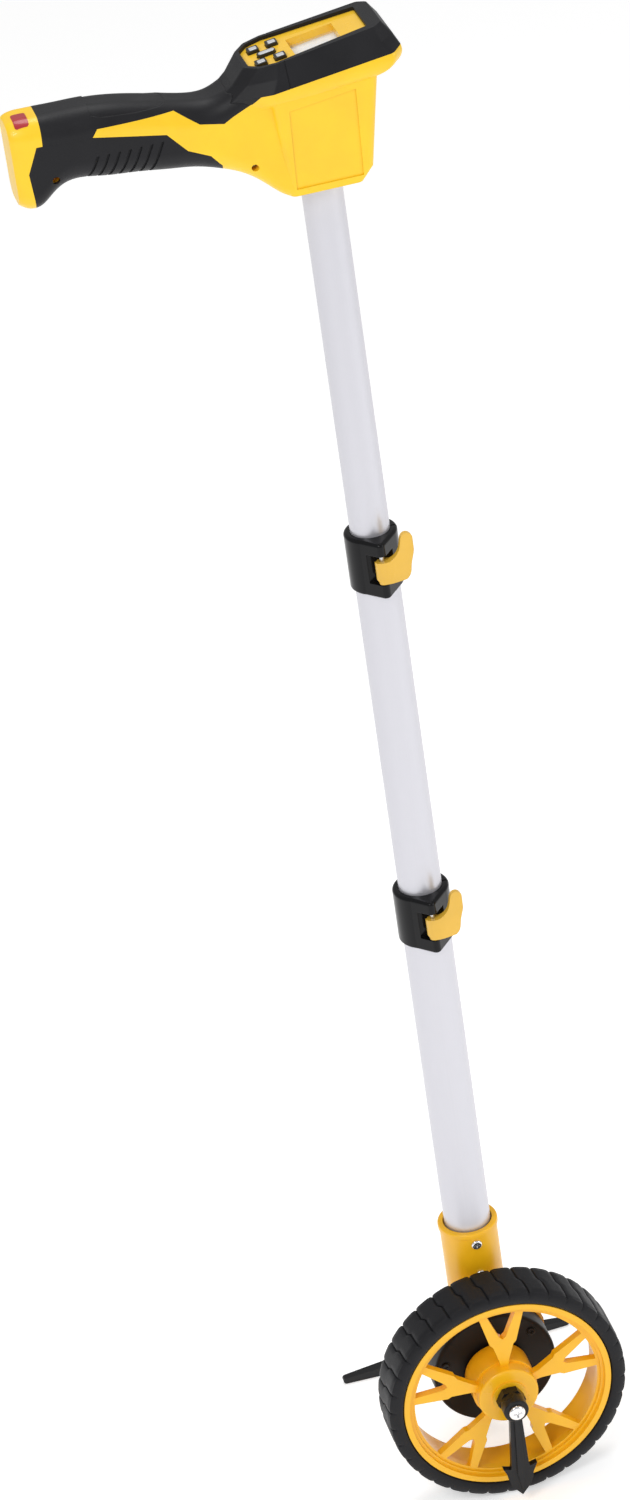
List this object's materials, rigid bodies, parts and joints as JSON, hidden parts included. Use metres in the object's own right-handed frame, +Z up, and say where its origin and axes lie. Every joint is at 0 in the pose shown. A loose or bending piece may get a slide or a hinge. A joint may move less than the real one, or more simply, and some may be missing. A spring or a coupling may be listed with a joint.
{
  "type": "digital telescopic measuring wheel",
  "caption": "Distance measuring wheel with a telescopic pole, flip-lock collars, a pistol grip with tilted display and keys, a pointer at the hub and a fold-down T-shaped stand.",
  "frame": {"origin": "centre of the base of the standing object's bounding box, on the floor", "axes": "+Z up along the pole, +X the direction of travel (the grip points to -X), the wheel on the -Y side"},
  "size_m": [0.253, 0.1832, 1.0098],
  "materials": {
    "tyre": "matte",
    "rim": "satin",
    "rear_bearing": "satin",
    "front_bearing": "satin",
    "magnet_ring": "matte",
    "axle": "satin",
    "axle_spacer": "satin",
    "pointer": "satin",
    "pointer_screw": "polished",
    "axle_nut": "satin",
    "encoder_housing": "matte",
    "encoder_board": "satin",
    "encoder_screws": "satin",
    "bracket": "satin",
    "tube_screws": "polished",
    "stand": "satin",
    "stand_pin": "satin",
    "lower_tube": "satin anodised",
    "middle_tube": "satin anodised",
    "upper_tube": "satin anodised",
    "middle_tube_plug": "satin",
    "upper_tube_plug": "satin",
    "lower_collar": "glossy",
    "upper_collar": "glossy",
    "lower_lever": "satin",
    "upper_lever": "satin",
    "lower_lever_pin": "satin",
    "upper_lever_pin": "satin",
    "housing_left": "satin",
    "housing_right": "satin",
    "housing_screw": "satin",
    "grip_top": "matte",
    "grip_bottom": "matte",
    "butt_cap": "satin",
    "badge": "satin",
    "battery_door": "satin",
    "batteries": "satin",
    "battery_contacts": "satin",
    "battery_holder": "matte",
    "bezel_frame": "matte",
    "face_panel": "satin",
    "lcd_window": "clear",
    "lcd_module": "satin",
    "main_board": "satin",
    "key_mat": "matte",
    "key_1": "satin",
    "key_2": "satin",
    "key_3": "satin",
    "key_4": "satin",
    "key_enter": "satin"
  },
  "bodies": {
    "base": {"bracket": "bracket", "tube_screws": "tube_screws", "stand_pin": "stand_pin", "lower_tube": "lower_tube", "lower_collar": "lower_collar", "lower_lever_pin": "lower_lever_pin", "axle": "axle", "axle_spacer": "axle_spacer", "axle_nut": "axle_nut", "pointer": "pointer", "pointer_screw": "pointer_screw", "encoder_housing": "encoder_housing", "encoder_board": "encoder_board", "encoder_screws": "encoder_screws"},
    "wheel": {"rim": "rim", "tyre": "tyre", "rear_bearing": "rear_bearing", "front_bearing": "front_bearing", "magnet_ring": "magnet_ring"},
    "stand": {"stand": "stand"},
    "lower_lever": {"lower_lever": "lower_lever"},
    "middle_pole": {"middle_tube": "middle_tube", "middle_tube_plug": "middle_tube_plug", "upper_collar": "upper_collar", "upper_lever_pin": "upper_lever_pin"},
    "upper_lever": {"upper_lever": "upper_lever"},
    "head": {"upper_tube": "upper_tube", "upper_tube_plug": "upper_tube_plug", "housing_left": "housing_left", "housing_right": "housing_right", "housing_screw": "housing_screw", "grip_top": "grip_top", "grip_bottom": "grip_bottom", "butt_cap": "butt_cap", "badge": "badge", "batteries": "batteries", "battery_contacts": "battery_contacts", "battery_holder": "battery_holder", "bezel_frame": "bezel_frame", "face_panel": "face_panel", "lcd_window": "lcd_window", "lcd_module": "lcd_module", "main_board": "main_board", "key_mat": "key_mat"},
    "battery_door": {"battery_door": "battery_door"},
    "key_1": {"key_1": "key_1"},
    "key_2": {"key_2": "key_2"},
    "key_3": {"key_3": "key_3"},
    "key_4": {"key_4": "key_4"},
    "key_enter": {"key_enter": "key_enter"}
  },
  "joints": [
    {"name": "wheel_spin", "type": "hinge", "parent": "base", "child": "wheel", "pos_m": [0.0465, -0.05495, 0.07958], "axis": [0, 1, 0], "continuous": true},
    {"name": "stand_fold", "type": "hinge", "parent": "base", "child": "stand", "pos_m": [0.0465, 0.00405, 0.046], "axis": [1, 0, 0], "range_deg": [0, 112]},
    {"name": "lower_lever_flip", "type": "hinge", "parent": "base", "child": "lower_lever", "pos_m": [0.0471, -0.03715, 0.422], "axis": [0, 0, -1], "range_deg": [0, 100]},
    {"name": "middle_slide", "type": "slide", "parent": "base", "child": "middle_pole", "axis": [0, 0, 1], "range_m": [-0.21, 0]},
    {"name": "upper_lever_flip", "type": "hinge", "parent": "middle_pole", "child": "upper_lever", "pos_m": [0.0471, -0.03565, 0.672], "axis": [0, 0, -1], "range_deg": [0, 100]},
    {"name": "upper_slide", "type": "slide", "parent": "middle_pole", "child": "head", "axis": [0, 0, 1], "range_m": [-0.22, 0]},
    {"name": "battery_door_open", "type": "hinge", "parent": "head", "child": "battery_door", "pos_m": [0.07442, -0.01595, 0.9318], "axis": [0, 1, 0], "range_deg": [0, 90]},
    {"name": "key_1_press", "type": "slide", "parent": "head", "child": "key_1", "axis": [0.1426, 0, -0.9898], "range_m": [0, 0.001], "stiffness_N_per_m": 400},
    {"name": "key_2_press", "type": "slide", "parent": "head", "child": "key_2", "axis": [0.1426, 0, -0.9898], "range_m": [0, 0.001], "stiffness_N_per_m": 400},
    {"name": "key_3_press", "type": "slide", "parent": "head", "child": "key_3", "axis": [0.1426, 0, -0.9898], "range_m": [0, 0.001], "stiffness_N_per_m": 400},
    {"name": "key_4_press", "type": "slide", "parent": "head", "child": "key_4", "axis": [0.1426, 0, -0.9898], "range_m": [0, 0.001], "stiffness_N_per_m": 400},
    {"name": "key_enter_press", "type": "slide", "parent": "head", "child": "key_enter", "axis": [0.1426, 0, -0.9898], "range_m": [0, 0.001], "stiffness_N_per_m": 400}
  ]
}
